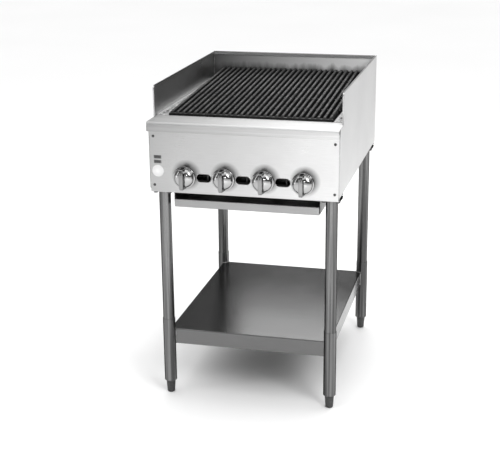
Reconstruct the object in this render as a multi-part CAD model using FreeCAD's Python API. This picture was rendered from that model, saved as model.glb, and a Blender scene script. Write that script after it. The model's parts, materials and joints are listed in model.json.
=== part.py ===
"""Gas charbroiler on an open stand, written for FreeCAD's Python. Millimetres, +Z up, front towards -Y.

The origin is on the floor, in the middle of the overall box. Every sub-part is written to parts/NODE.step.
"""

import FreeCAD, Part
import math
import os

V = FreeCAD.Vector
X_AXIS, Y_AXIS, Z_AXIS = V(1, 0, 0), V(0, 1, 0), V(0, 0, 1)

# Overall body
WIDTH = 610.0
DEPTH = 790.0  # front panel's face to back panel's face
HALF = WIDTH / 2
FRONT, BACK = -DEPTH / 2, DEPTH / 2
SHEET = 1.5
PANEL_BOTTOM = 720.0
SIDE_BOTTOM = 732.0
RAIL_BOTTOM = 920.0
DECK = 951.0
GUARD_TOP = 1051.0
GUARD_SETBACK = 56.0  # the side guards start this far behind the front panel
GUARD_CORNER = 12.0
SIDE_INNER = HALF - SHEET
BODY_GAP = 0.2  # between neighbouring sheets
FLANGE = 25.0
PANEL_INSET = 3.0  # the front panel and the back's inner sheets stop this far inside the sides
PAST = 5.0  # cutters run this far past the faces they cut

# Channels across the underside: where each starts and ends
FRONT_CHANNEL = (FRONT + 23.5, FRONT + 86.0)
REAR_CHANNEL = (BACK - 75.0, BACK - 4.0)

# Landing rail in front of the grates
RAIL_REACH = 20.0
RAIL_NOSE = 8.0
LEDGE_REAR = FRONT + 90.0
LEDGE_LIP, RAIL_LIP = 12.0, 14.0  # the rail's edge turned down behind the ledge, and up behind the nose

# Controls, one set to each burner
BURNER_PITCH = 127.0
BURNER_X = [BURNER_PITCH * (i - 1.5) for i in range(4)]
CONTROL_Z = 773.0
SLOT_X = [-BURNER_PITCH, 0.0, BURNER_PITCH]
SLOT_LENGTH, SLOT_HEIGHT = 49.0, 27.0
KNOB_RADIUS = 36.0
KNOB_REACH = 42.0
KNOB_GAP = 1.5  # between the knob and the panel
STEM_RADIUS, STEM_CLEARANCE = 4.0, 0.06
STEM_IN_VALVE, STEM_IN_KNOB = 20.0, 18.0

# Gas train
PIPE_RADIUS, PIPE_BORE = 13.35, 10.45  # 3/4 inch pipe
MANIFOLD_Y, MANIFOLD_Z = FRONT + 24.0, 747.2
SUPPLY_X = 286.0
SUPPLY_BEND = 20.0
SUPPLY_START = SUPPLY_X - SUPPLY_BEND - 10.0
INLET_REACH = KNOB_REACH
INLET_THREAD, INLET_ACROSS = 30.0, 34.0
MANIFOLD_START = -225.0
VALVE_HALF = 12.0
VALVE_FRONT, VALVE_BACK = FRONT + 8.0, FRONT + 38.0
VALVE_INLET, TAP_CLEARANCE = 6.0, 0.05
TAP_BASE = MANIFOLD_Z + PIPE_RADIUS - 2.0  # what is tapped into the manifold starts here
PILOT_X = [-119.0, 8.0, 135.0, 235.0]
PILOT_RADIUS, PILOT_BEND = 3.2, 14.0
PILOT_Z = CONTROL_Z + 30.0

# Firebox
LINER_X = 268.0
LINER_BOTTOM = 762.0
FIREWALL = FRONT + 90.5
SPLASH = BACK - 22.8  # front face of the back splash
RACK_TOP = 832.0
RADIANT_RISE, RADIANT_FOOT, RADIANT_HALF = 37.0, 10.0, 46.0
VENT_COUNT, VENT_WIDTH = 8, 10.0
BURNER_START, BURNER_END = FRONT + 113.0, BACK - 60.0
BURNER_WIDTH, BURNER_HEIGHT = 46.0, 32.0
BURNER_WALL, BURNER_ROUND = 5.0, 9.0
PORT_COUNT, PORT_RADIUS, PORT_X = 16, 2.2, 9.0
VENTURI_RADIUS, VENTURI_BORE = 17.0, 9.0
MIXER_Y = FRONT + 68.0
MIXER_RADIUS, MIXER_THICK = 25.0, 3.0
WINDOW_INNER, WINDOW_OUTER, WINDOW_HALF = 18.0, 22.0, 13.0

# Grates: four cast sections of seven bars, rising to the back
GRATE_COUNT, BARS = 4, 7
BAR_PITCH = 19.05
GRATE_PITCH = BARS * BAR_PITCH
GRATE_GAP = 1.2
GRATE_FRONT = FRONT + 93.5
GRATE_LENGTH = 672.0
GRATE_HEIGHT = 20.0
GRATE_PROUD = 12.0  # the front of the bars stands this far above the deck
GRATE_TILT = 3.0
BAR_CROWN, BAR_ROOT, BAR_ROUND = 5.0, 3.2, 3.0  # half widths at the top and bottom, and the top's edges
RIB_COUNT, RIB_WIDTH, RIB_HEIGHT = 4, 9.0, 11.0

# Drip tray
TRAY_HALF = 236.0
TRAY_FRONT, TRAY_BACK = FRONT + 35.0, FRONT + 725.0
TRAY_BOTTOM, TRAY_TOP = 668.0, 690.0
TRAY_SHEET = 1.2
PULL_MARGIN = 2.0  # the pull is wider than the pan by this much a side, and as far in front of it
PULL_DROP, PULL_LIP, PULL_RIM = 4.0, 9.0, 14.0
RUNNER_X = TRAY_HALF + 1.5
RUNNER_TOP, RUNNER_LIP = 20.0, 18.0

# Stand
LEG_X = 273.3
LEG_FRONT_Y, LEG_BACK_Y = FRONT + 49.8, BACK - 39.0
LEG_TUBE, SLEEVE_TUBE, TUBE_WALL = 38.1 / 2, 41.3 / 2, 1.5
LEG_TOP = 716.0
LEG_END = 150.0
SLEEVE_TOP = 270.0
SLEEVE_BOTTOM = 46.0
INSERT_TOP = SLEEVE_BOTTOM + 30.0
PLATE_SIDE, PLATE_THICK = 62.0, 4.0
BOLT_OFFSET = 22.5
FOOT_TOP = 43.0
FOOT_CROWN, FOOT_WAIST, FOOT_SOLE = 15.4, 13.0, 9.5  # radii from the top down
STUD_RADIUS, STUD_LENGTH = 6.35, 60.0
SHELF_TOP, SHELF_LIP, SHELF_RETURN = 230.0, 52.0, 14.0
SHELF_HALF = 271.0
SHELF_FRONT, SHELF_BACK = FRONT + 53.4, BACK - 42.6
LEGS = {
    "front_left": (-LEG_X, LEG_FRONT_Y),
    "front_right": (LEG_X, LEG_FRONT_Y),
    "back_left": (-LEG_X, LEG_BACK_Y),
    "back_right": (LEG_X, LEG_BACK_Y),
}

# Fasteners
SCREW_HEAD, SCREW_SHANK, SCREW_RISE = 4.5, 2.4, 2.2
PANEL_SCREW_X = 290.0
PANEL_SCREW_Z = (743.6, 901.7)
STRIP_SCREW = (285.0, FRONT + 140.0)
BOLT_SHANK, BOLT_HEAD, BOLT_ACROSS = 4.0, 5.3, 13.0
BACK_SCREW_X = HALF - 12.0
BACK_SCREW_Z = (SIDE_BOTTOM + 46.0, (SIDE_BOTTOM + DECK) / 2, DECK - 80.0)

# Blank labels
LABEL_THICK, LABEL_RADIUS = 0.4, 19.0
LABEL_X, LABEL_Z = -277.5, 789.8
LABEL_PLATE_Z = (820.0, 835.0)
LABEL_PLATE_WIDE, LABEL_PLATE_TALL = 25.0, 11.0


def block(x0, x1, y0, y1, z0, z1):
    """A box between two corners."""
    return Part.makeBox(x1 - x0, y1 - y0, z1 - z0, V(x0, y0, z0))


def rod(radius, start, end):
    """A solid cylinder from one point to another."""
    along = end - start
    return Part.makeCylinder(radius, along.Length, start, along)


def tube(outer, inner, start, end):
    """A hollow cylinder from one point to another."""
    return rod(outer, start, end).cut(rod(inner, start, end))


def fuse(shapes):
    """One clean solid from several that touch."""
    whole = shapes[0].fuse(shapes[1:])
    return whole.removeSplitter()


def mirror_x(shape):
    """The same part on the other side of the X = 0 plane."""
    return shape.mirror(V(0, 0, 0), X_AXIS)


def hexagon(centre, way, across, thick):
    """A hexagonal prism along way, measured across its flats."""
    corner = across / math.sqrt(3)
    first = (Z_AXIS if way.z == 0 else X_AXIS) * corner
    turn = FreeCAD.Rotation(way, 60)
    points = [first]
    for _ in range(6):
        points.append(turn.multVec(points[-1]))
    return Part.Face(Part.makePolygon([centre + p for p in points])).extrude(way * thick)


def place_2d(plane, offset):
    """A function that lifts a 2-D point into the plane 'yz', 'xz' or 'xy' at that offset."""
    return {
        "yz": lambda a, b: V(offset, a, b),
        "xz": lambda a, b: V(a, offset, b),
        "xy": lambda a, b: V(a, b, offset),
    }[plane]


def normal_of(plane):
    """The direction in which a profile in that plane is extruded."""
    return {"yz": X_AXIS, "xz": Y_AXIS, "xy": Z_AXIS}[plane]


def line(lift, a, b):
    """A straight edge between two 2-D points."""
    return Part.LineSegment(lift(*a), lift(*b)).toShape()


def arc(lift, a, middle, b):
    """A round edge through three 2-D points."""
    return Part.Arc(lift(*a), lift(*middle), lift(*b)).toShape()


def flat(vector):
    """The first two coordinates."""
    return vector.x, vector.y


def offset_side(points, radii, shift, lift):
    """Edges of a polyline moved sideways by shift, with each corner rounded about its own centre."""
    points = [V(a, b, 0) for a, b in points]
    edges, start = [], None
    for i, point in enumerate(points):
        ahead = (points[i + 1] - point).normalize() if i + 1 < len(points) else None
        behind = (point - points[i - 1]).normalize() if i else None
        if ahead is None or behind is None:
            way = ahead or behind
            here = point + V(-way.y, way.x, 0) * shift
            if start is not None:
                edges.append(line(lift, flat(start), flat(here)))
            start = here
            continue
        turn = behind.x * ahead.y - behind.y * ahead.x
        half = math.atan2(abs(turn), behind.dot(ahead)) / 2
        side = 1 if turn > 0 else -1
        reach = radii[i] * math.tan(half)
        first, last = point - behind * reach, point + ahead * reach
        left_in, left_out = V(-behind.y, behind.x, 0), V(-ahead.y, ahead.x, 0)
        centre = first + left_in * (side * radii[i])
        bend = radii[i] - side * shift
        middle = centre - (left_in + left_out).normalize() * (side * bend)
        a, b = first + left_in * shift, last + left_out * shift
        edges.append(line(lift, flat(start), flat(a)))
        edges.append(arc(lift, flat(a), flat(middle), flat(b)))
        start = b
    return edges


def formed_sheet(points, plane, start, length, thick=SHEET, bend=2.5, bends=None):
    """A bent sheet: points is the middle of its section in that plane, extruded from start by length."""
    radii = bends or [bend] * len(points)
    lift = place_2d(plane, start)
    edges = []
    first, last = [], []
    for shift, ends in ((thick / 2, first), (-thick / 2, last)):
        side = offset_side(points, radii, shift, lift)
        edges += side
        ends += [side[0].firstVertex().Point, side[-1].lastVertex().Point]
    edges.append(Part.LineSegment(first[0], last[0]).toShape())
    edges.append(Part.LineSegment(first[1], last[1]).toShape())
    wire = Part.Wire(Part.__sortEdges__(edges))
    return Part.Face(wire).extrude(normal_of(plane) * length)


def plate_outline(points, plane, start, thick, rounds=None):
    """A flat plate from a closed outline whose listed corners are rounded."""
    rounds = rounds or {}
    lift = place_2d(plane, start)
    corners = [V(a, b, 0) for a, b in points]
    edges, ends = [], []
    for i, corner in enumerate(corners):
        before, after = corners[i - 1], corners[(i + 1) % len(corners)]
        to_before, to_after = (before - corner).normalize(), (after - corner).normalize()
        radius = rounds.get(i, 0)
        if not radius:
            ends.append((corner, corner))
            continue
        half = to_before.getAngle(to_after) / 2
        reach = radius / math.tan(half)
        centre = corner + (to_before + to_after).normalize() * (radius / math.sin(half))
        a, b = corner + to_before * reach, corner + to_after * reach
        middle = centre + (corner - centre).normalize() * radius
        ends.append((a, b))
        edges.append(arc(lift, flat(a), flat(middle), flat(b)))
    for i, (_, leaves) in enumerate(ends):
        arrives = ends[(i + 1) % len(ends)][0]
        edges.append(line(lift, flat(leaves), flat(arrives)))
    wire = Part.Wire(Part.__sortEdges__(edges))
    return Part.Face(wire).extrude(normal_of(plane) * thick)


def bent_rod(points, radius, bend, bore=0.0):
    """A rod or pipe along straight runs joined by arcs of one bend radius."""
    edges, start = [], points[0]
    for i in range(1, len(points) - 1):
        behind = (points[i] - points[i - 1]).normalize()
        ahead = (points[i + 1] - points[i]).normalize()
        half = behind.getAngle(ahead) / 2
        reach = bend * math.tan(half)
        first, last = points[i] - behind * reach, points[i] + ahead * reach
        inward = (ahead - behind).normalize()
        centre = points[i] + inward * (bend / math.cos(half))
        edges.append(Part.LineSegment(start, first).toShape())
        edges.append(Part.Arc(first, centre - inward * bend, last).toShape())
        start = last
    edges.append(Part.LineSegment(start, points[-1]).toShape())
    path = Part.Wire(edges)
    along = (points[1] - points[0]).normalize()

    def swept(size):
        section = Part.Wire(Part.makeCircle(size, points[0], along))
        return path.makePipeShell([section], True, False)

    return swept(radius).cut(swept(bore)) if bore else swept(radius)


def slot_cutter(x, z, y0, y1):
    """The oblong of a lighting slot, through the front panel."""
    reach = (SLOT_LENGTH - SLOT_HEIGHT) / 2
    ends = [rod(SLOT_HEIGHT / 2, V(x + s * reach, y0, z), V(x + s * reach, y1, z)) for s in (-1, 1)]
    middle = block(x - reach, x + reach, y0, y1, z - SLOT_HEIGHT / 2, z + SLOT_HEIGHT / 2)
    return fuse([middle] + ends)


def front_panel():
    """Control panel with stem holes, lighting slots and a flange behind its bottom edge."""
    half = HALF - PANEL_INSET
    middle, foot = FRONT + SHEET / 2, PANEL_BOTTOM + SHEET / 2
    flange_end, stem_room = FRONT + 22, 3.0
    section = [(flange_end, foot), (middle, foot), (middle, RAIL_BOTTOM - 1)]
    panel = formed_sheet(section, "yz", -half, 2 * half)
    y0, y1 = FRONT - PAST, FRONT + PAST
    cutters = [rod(STEM_RADIUS + stem_room, V(x, y0, CONTROL_Z), V(x, y1, CONTROL_Z)) for x in BURNER_X]
    cutters += [slot_cutter(x, CONTROL_Z, y0, y1) for x in SLOT_X]
    cutters += panel_screw_holes()
    cutters += [leg_corner_cutter(side) for side in (-1, 1)]
    return panel.cut(cutters)


def leg_corner_cutter(side):
    """Room for a front leg's plate under the panel's bottom flange."""
    edge = LEG_X - PLATE_SIDE / 2 - 2
    x0, x1 = sorted((side * edge, side * HALF))
    return block(x0, x1, FRONT + 8, FRONT + 30, PANEL_BOTTOM - 1, PANEL_BOTTOM + PAST)


def panel_screw_holes():
    """Clearance holes for the four screws of the front panel."""
    places = [V(side * PANEL_SCREW_X, FRONT - PAST, z) for side in (-1, 1) for z in PANEL_SCREW_Z]
    return [rod(SCREW_SHANK + BODY_GAP, place, place + Y_AXIS * (2 * PAST + 3)) for place in places]


def right_side_panel():
    """Outer side with its splash guard, hemmed along the guard's top and front, and flanged inwards."""
    guard_y = FRONT + GUARD_SETBACK
    end = BACK - SHEET - BODY_GAP
    ledge = DECK - SHEET - BODY_GAP
    outline = [
        (FRONT, SIDE_BOTTOM),
        (end, SIDE_BOTTOM),
        (end, GUARD_TOP),
        (guard_y, GUARD_TOP),
        (guard_y, ledge),
        (FRONT, ledge),
    ]
    outer = plate_outline(outline, "yz", SIDE_INNER, SHEET, {3: GUARD_CORNER})
    hem_width, hem_thick, hem_corner = 7.0, 2.6, 6.0
    hem_end, hem_foot = SPLASH - 2.0, DECK + 0.3
    band = [(guard_y, hem_foot), (hem_end, hem_foot), (hem_end, GUARD_TOP), (guard_y, GUARD_TOP)]
    inside = [
        (guard_y + hem_width, DECK - PAST),
        (hem_end + PAST, DECK - PAST),
        (hem_end + PAST, GUARD_TOP - hem_width),
        (guard_y + hem_width, GUARD_TOP - hem_width),
    ]
    hem = plate_outline(band, "yz", SIDE_INNER - hem_thick, hem_thick, {3: GUARD_CORNER})
    hem = hem.cut(plate_outline(inside, "yz", SIDE_INNER - 2 * hem_thick, 3 * hem_thick, {3: hem_corner}))
    inner, foot_inner = SIDE_INNER - FLANGE, SIDE_INNER - 2 * FLANGE
    front_y = FRONT + SHEET + BODY_GAP
    flange_foot = SIDE_BOTTOM + 5
    front_flange = block(inner, SIDE_INNER, front_y, front_y + SHEET, flange_foot, RAIL_BOTTOM - 4)
    back_flange = block(inner, SIDE_INNER, end - SHEET, end, flange_foot, DECK - 60)
    foot_flange = block(foot_inner, SIDE_INNER, front_y + 4, end, SIDE_BOTTOM, SIDE_BOTTOM + SHEET)
    panel = fuse([outer, hem, front_flange, back_flange, foot_flange])
    return panel.cut(panel_screw_holes() + leg_bolt_holes() + [inlet_hole()] + back_screw_holes())


def leg_bolt_holes():
    """Clearance holes for the bolts that hold the legs' plates."""
    radius, z0, z1 = BOLT_SHANK + BODY_GAP, PANEL_BOTTOM - 2 * PAST, SIDE_BOTTOM + PAST + 1
    return [rod(radius, V(x, y, z0), V(x, y, z1)) for x, y in leg_bolt_points()]


def leg_bolt_points():
    """Four bolts round each leg."""
    around = [(a * BOLT_OFFSET, b * BOLT_OFFSET) for a in (-1, 1) for b in (-1, 1)]
    return [(x + dx, y + dy) for x, y in LEGS.values() for dx, dy in around]


def back_screw_points():
    """Screws along the edges of the back panel."""
    return [(side * BACK_SCREW_X, z) for side in (-1, 1) for z in BACK_SCREW_Z]


def back_screw_holes():
    """Clearance holes for the back panel's screws."""
    radius, y0, y1 = SCREW_SHANK + BODY_GAP, BACK - 2 * PAST - 2, BACK + PAST
    return [rod(radius, V(x, y0, z), V(x, y1, z)) for x, z in back_screw_points()]


def inlet_hole():
    """Way through the back for the gas inlet."""
    start, end = V(SUPPLY_X, BACK - 20, MANIFOLD_Z), V(SUPPLY_X, BACK + PAST, MANIFOLD_Z)
    return rod(PIPE_RADIUS + 1.5, start, end)


def back_panel():
    """Outer back, with a flange over the top of the back splash and a lip in front of it."""
    sheet = block(-HALF, HALF, BACK - SHEET, BACK, SIDE_BOTTOM, GUARD_TOP - 4)
    reach = SIDE_INNER - PANEL_INSET
    behind, top, lip_y = BACK - SHEET / 2, GUARD_TOP - SHEET / 2, SPLASH - SHEET / 2 - BODY_GAP
    section = [(behind, GUARD_TOP - 14), (behind, top), (lip_y, top), (lip_y, GUARD_TOP - 9)]
    cap = formed_sheet(section, "yz", -reach, 2 * reach, bend=2.0)
    return fuse([sheet, cap]).cut(back_screw_holes() + [inlet_hole()])


def back_splash():
    """Inner back wall of the firebox and cooking surface."""
    reach, lower_reach = SIDE_INNER - PANEL_INSET, LINER_X - 2
    upper = block(-reach, reach, SPLASH, SPLASH + SHEET, DECK + 2, GUARD_TOP - 4)
    lower = block(-lower_reach, lower_reach, SPLASH, SPLASH + SHEET, LINER_BOTTOM, DECK + 2)
    return fuse([upper, lower])


def front_rail():
    """Landing rail: a rolled nose in front, a flat ledge, and a flange down inside."""
    ledge_z, foot_z = DECK - SHEET / 2, RAIL_BOTTOM + SHEET / 2
    rear_y, nose_y, lip_y = LEDGE_REAR - SHEET / 2, FRONT - RAIL_REACH + SHEET / 2, FRONT - 1 - SHEET / 2
    section = [
        (rear_y, DECK - LEDGE_LIP),
        (rear_y, ledge_z),
        (nose_y, ledge_z),
        (nose_y, foot_z),
        (lip_y, foot_z),
        (lip_y, RAIL_BOTTOM + RAIL_LIP),
    ]
    bends = [0, 2.0, RAIL_NOSE, 2.5, 2.0, 0]
    rail = formed_sheet(section, "yz", -HALF, WIDTH, bends=bends)
    y0, y1 = FRONT + GUARD_SETBACK - 0.5, LEDGE_REAR + PAST
    x0 = SIDE_INNER - BODY_GAP
    notches = [block(x, x + PAST, y0, y1, RAIL_BOTTOM, DECK + PAST) for x in (x0, -x0 - PAST)]
    return rail.cut(notches)


def right_firebox_liner():
    """Side wall of the firebox, whose top is the strip beside the grates, turned up against the guard."""
    outer, inner = SIDE_INNER - BODY_GAP - SHEET / 2, LINER_X + SHEET / 2
    top, turn_up, overlap = DECK + SHEET / 2, 7.0, 4.0
    section = [(outer, top + turn_up), (outer, top), (inner, top), (inner, LINER_BOTTOM)]
    start = LEDGE_REAR - overlap
    liner = formed_sheet(section, "xz", start, SPLASH - BODY_GAP - start, bend=1.8)
    x0, y0, z0 = LINER_X - 1, LEDGE_REAR - PAST, LINER_BOTTOM - PAST
    behind = block(x0, LINER_X + 3, y0, FIREWALL + SHEET + BODY_GAP, z0, DECK - 2)
    lap = block(x0, SIDE_INNER, y0, LEDGE_REAR + BODY_GAP, z0, DECK + 0.1)
    x, y = STRIP_SCREW
    hole = rod(SCREW_SHANK + BODY_GAP, V(x, y, DECK - PAST), V(x, y, DECK + PAST))
    return liner.cut([behind, lap, hole])


def front_firebox_liner():
    """Firewall between the controls and the burners, with a hole to each venturi and pilot tube."""
    half = LINER_X - 1
    wall = block(-half, half, FIREWALL, FIREWALL + SHEET, LINER_BOTTOM - 20, DECK - SHEET - 1)
    y0, y1 = FIREWALL - PAST, FIREWALL + PAST
    holes = [rod(VENTURI_RADIUS + 1, V(x, y0, CONTROL_Z), V(x, y1, CONTROL_Z)) for x in BURNER_X]
    holes += [rod(PILOT_RADIUS + 1, V(x, y0, PILOT_Z), V(x, y1, PILOT_Z)) for x in PILOT_X]
    return wall.cut(holes)


def bottom_rail(y0, y1):
    """Channel across the underside that ties the sides together and takes the legs."""
    half = SIDE_INNER - 1
    top, foot = SIDE_BOTTOM - SHEET / 2 - 0.1, PANEL_BOTTOM + SHEET / 2
    front_y, rear_y = y0 + SHEET / 2, y1 - SHEET / 2
    section = [(front_y, foot), (front_y, top), (rear_y, top), (rear_y, foot)]
    return formed_sheet(section, "yz", -half, 2 * half).cut(leg_bolt_holes())


def grate_rests():
    """Front and rear angles that the grates lie on; the rear one is higher."""
    half = LINER_X - 1.5
    thick, reach, front_drop, rear_drop = 3.0, 22.0, 24.0, 30.0
    grate_bottom = DECK + GRATE_PROUD - GRATE_HEIGHT
    front_y, rear_y = FIREWALL + SHEET + BODY_GAP, SPLASH - BODY_GAP
    front_top = grate_bottom - 0.4
    rise = (rear_y - reach - GRATE_FRONT) * math.tan(math.radians(GRATE_TILT))
    rear_top = grate_bottom + rise - 0.6
    angles = []
    for wall_y, inward, top, drop in ((front_y, 1, front_top, front_drop), (rear_y, -1, rear_top, rear_drop)):
        y, z = wall_y + inward * thick / 2, top - thick / 2
        section = [(y, top - drop), (y, z), (wall_y + inward * reach, z)]
        angles.append(formed_sheet(section, "yz", -half, 2 * half, thick=thick, bend=3.0))
    return Part.makeCompound(angles)


def firebox_racks():
    """Angles that carry the radiants front and rear, and the bar that the burners' tails lie on."""
    half = LINER_X - 1.5
    thick, reach, drop, tail_reach = 2.0, 24.0, 20.0, 60.0
    front_y, rear_y = FIREWALL + SHEET + BODY_GAP, SPLASH - BODY_GAP
    front_in, rear_in = front_y + thick / 2, rear_y - thick / 2
    rack_z = RACK_TOP - thick / 2
    rest_z = CONTROL_Z - BURNER_HEIGHT / 2 - 1.2
    sections = [
        [(front_in, rack_z - drop), (front_in, rack_z), (front_y + reach, rack_z)],
        [(rear_in, rack_z - drop), (rear_in, rack_z), (rear_y - reach, rack_z)],
        [(rear_in, rest_z + 8), (rear_in, rest_z), (rear_y - tail_reach, rest_z)],
    ]
    angles = [formed_sheet(section, "yz", -half, 2 * half, thick=thick) for section in sections]
    return Part.makeCompound(angles)


def radiant(x):
    """Cast cover over a burner: a steep roof with turned-out feet and a vent row along each slope."""
    foot_z = RACK_TOP + 3
    ridge_z = foot_z + RADIANT_RISE
    wide = RADIANT_HALF + RADIANT_FOOT
    section = [
        (x - wide, foot_z),
        (x - RADIANT_HALF, foot_z),
        (x, ridge_z),
        (x + RADIANT_HALF, foot_z),
        (x + wide, foot_z),
    ]
    start, end = FIREWALL + 5, SPLASH - 5
    roof = formed_sheet(section, "xz", start, end - start, thick=5.0, bends=[0, 4, 6, 4, 0])
    step = (end - start) / VENT_COUNT
    vents = []
    for middle in (x - 27, x + 27):
        x0, x1 = middle - VENT_WIDTH / 2, middle + VENT_WIDTH / 2
        for i in range(VENT_COUNT):
            y0, y1 = start + step * (i + 0.25), start + step * (i + 0.75)
            vents.append(block(x0, x1, y0, y1, RACK_TOP, ridge_z))
    return roof.cut(vents)


def burner(x):
    """Cast burner: a hollow bar with two rows of ports, a venturi through the firewall and a mixer face."""
    z, length = CONTROL_Z, BURNER_END - BURNER_START
    half_w, half_h = BURNER_WIDTH / 2, BURNER_HEIGHT / 2
    body = block(x - half_w, x + half_w, BURNER_START, BURNER_END, z - half_h, z + half_h)
    long_edges = [e for e in body.Edges if abs(e.BoundBox.YLength - length) < 1]
    body = body.makeFillet(BURNER_ROUND, long_edges)
    core_w, core_h = half_w - BURNER_WALL, half_h - BURNER_WALL
    core = block(x - core_w, x + core_w, BURNER_START + 8, BURNER_END - 6, z - core_h, z + core_h)
    throat = rod(VENTURI_RADIUS, V(x, MIXER_Y, z), V(x, BURNER_START + 3, z))
    face = rod(MIXER_RADIUS, V(x, MIXER_Y, z), V(x, MIXER_Y + MIXER_THICK, z))
    bore = rod(VENTURI_BORE, V(x, MIXER_Y - 1, z), V(x, BURNER_START + 12, z))
    tail = block(x - 9, x + 9, BURNER_END - 3, BURNER_END + 22, z - half_h, z - half_h + 8)
    solid = fuse([body, throat, face, tail]).cut([core, bore])
    margin = 30.0
    step = (length - 2 * margin) / (PORT_COUNT - 1)
    ports = []
    for side in (-1, 1):
        for i in range(PORT_COUNT):
            place = V(x + side * PORT_X, BURNER_START + margin + step * i, z)
            ports.append(rod(PORT_RADIUS, place, place + Z_AXIS * BURNER_HEIGHT))
    air = [air_window(x, side, MIXER_Y - 1, MIXER_Y + MIXER_THICK + 1) for side in (-1, 1)]
    return solid.cut(ports + air)


def air_window(x, side, y0, y1):
    """A quarter-ring opening at one side of the venturi's bore."""
    ring = tube(WINDOW_OUTER, WINDOW_INNER, V(x, y0, CONTROL_Z), V(x, y1, CONTROL_Z))
    wedge = block(x, x + MIXER_RADIUS, y0, y1, CONTROL_Z - WINDOW_HALF, CONTROL_Z + WINDOW_HALF)
    window = ring.common(wedge)
    if side < 0:
        window.rotate(V(x, 0, CONTROL_Z), Y_AXIS, 180)
    return window


def air_shutter(x):
    """Disc in front of the mixer face, with matching windows and a finger tab."""
    y0, y1 = MIXER_Y - 2.0, MIXER_Y - 0.5
    rim_z = CONTROL_Z + MIXER_RADIUS
    disc = rod(MIXER_RADIUS, V(x, y0, CONTROL_Z), V(x, y1, CONTROL_Z))
    tab = block(x - 4, x + 4, y0, y1, rim_z - 3, rim_z + 9)
    hole = rod(VENTURI_BORE - 0.5, V(x, y0 - 1, CONTROL_Z), V(x, y1 + 1, CONTROL_Z))
    windows = [air_window(x, side, y0 - 1, y1 + 1) for side in (-1, 1)]
    return fuse([disc, tab]).cut([hole] + windows)


def gas_manifold():
    """Pipe under the valves, plugged at its left end."""
    start, end = V(MANIFOLD_START, MANIFOLD_Y, MANIFOLD_Z), V(SUPPLY_START, MANIFOLD_Y, MANIFOLD_Z)
    pipe = tube(PIPE_RADIUS, PIPE_BORE, start, end)
    cap = rod(PIPE_RADIUS + 1.4, start - X_AXIS * 10, start)
    z0, z1 = MANIFOLD_Z + PAST, MANIFOLD_Z + 4 * PAST
    taps = []
    for radius, places in ((VALVE_INLET, BURNER_X), (PILOT_RADIUS, PILOT_X)):
        taps += [rod(radius + TAP_CLEARANCE, V(x, MANIFOLD_Y, z0), V(x, MANIFOLD_Y, z1)) for x in places]
    return fuse([pipe, cap]).cut(taps)


def gas_supply_pipe():
    """Pipe from the manifold's right end, round a bend and back along the side."""
    start = V(SUPPLY_START, MANIFOLD_Y, MANIFOLD_Z)
    corner = V(SUPPLY_X, MANIFOLD_Y, MANIFOLD_Z)
    end = V(SUPPLY_X, BACK - 8, MANIFOLD_Z)
    return bent_rod([start, corner, end], PIPE_RADIUS, SUPPLY_BEND, PIPE_BORE)


def gas_inlet_fitting():
    """Pipe end that stands out of the back, with a hexagon to hold it by."""
    end = BACK + INLET_REACH
    joint, shoulder, collar_y = BACK - 8, end - INLET_THREAD, BACK + 0.3

    def along(radius, y0, y1):
        return rod(radius, V(SUPPLY_X, y0, MANIFOLD_Z), V(SUPPLY_X, y1, MANIFOLD_Z))

    collar = hexagon(V(SUPPLY_X, collar_y, MANIFOLD_Z), Y_AXIS, INLET_ACROSS, shoulder - collar_y)
    solid = fuse([along(PIPE_RADIUS - 0.35, joint, BACK + 1), collar, along(PIPE_RADIUS, shoulder, end)])
    return solid.cut(along(PIPE_BORE, joint - 1, end + 1))


def gas_valve(x):
    """Brass valve on the manifold, bored for its stem, with an outlet at the back."""
    z, half = CONTROL_Z, VALVE_HALF
    body = block(x - half, x + half, VALVE_FRONT + 4, VALVE_BACK - 4, z - half, z + half)
    bonnet = rod(10.0, V(x, VALVE_FRONT, z), V(x, VALVE_FRONT + 5, z))
    outlet = rod(7.0, V(x, VALVE_BACK - 5, z), V(x, VALVE_BACK, z))
    inlet = rod(VALVE_INLET, V(x, MANIFOLD_Y, TAP_BASE), V(x, MANIFOLD_Y, z - half + 1))
    bore_end = VALVE_FRONT + STEM_IN_VALVE + 2
    bore = rod(STEM_RADIUS + STEM_CLEARANCE, V(x, VALVE_FRONT - 1, z), V(x, bore_end, z))
    return fuse([body, bonnet, outlet, inlet]).cut(bore)


def orifice_hood(x):
    """Brass hood that sprays gas into the venturi."""
    z, across, length, nose_length = CONTROL_Z, 14.0, 16.0, 10.0
    nose_y = VALVE_BACK + length
    body = hexagon(V(x, VALVE_BACK, z), Y_AXIS, across, length)
    nose = Part.makeCone(across / 2, 4.5, nose_length, V(x, nose_y, z), Y_AXIS)
    jet = rod(1.0, V(x, nose_y - 8, z), V(x, nose_y + nose_length + 1, z))
    return fuse([body, nose]).cut(jet)


def pilot_tube(x):
    """Small tube from the manifold up, back through the firewall and beside a burner, with a hooded tip."""
    base = V(x, MANIFOLD_Y, TAP_BASE)
    corner = V(x, MANIFOLD_Y, PILOT_Z)
    end = V(x, FIREWALL + 60, PILOT_Z)
    pipe = bent_rod([base, corner, end], PILOT_RADIUS, PILOT_BEND)
    tip = rod(PILOT_RADIUS + 2, end - Y_AXIS * 10, end)
    return fuse([pipe, tip])


def valve_stem(x):
    """Shaft from inside the valve to the knob."""
    start, end = V(x, VALVE_FRONT + STEM_IN_VALVE, CONTROL_Z), V(x, FRONT - STEM_IN_KNOB, CONTROL_Z)
    return rod(STEM_RADIUS, start, end)


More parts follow.
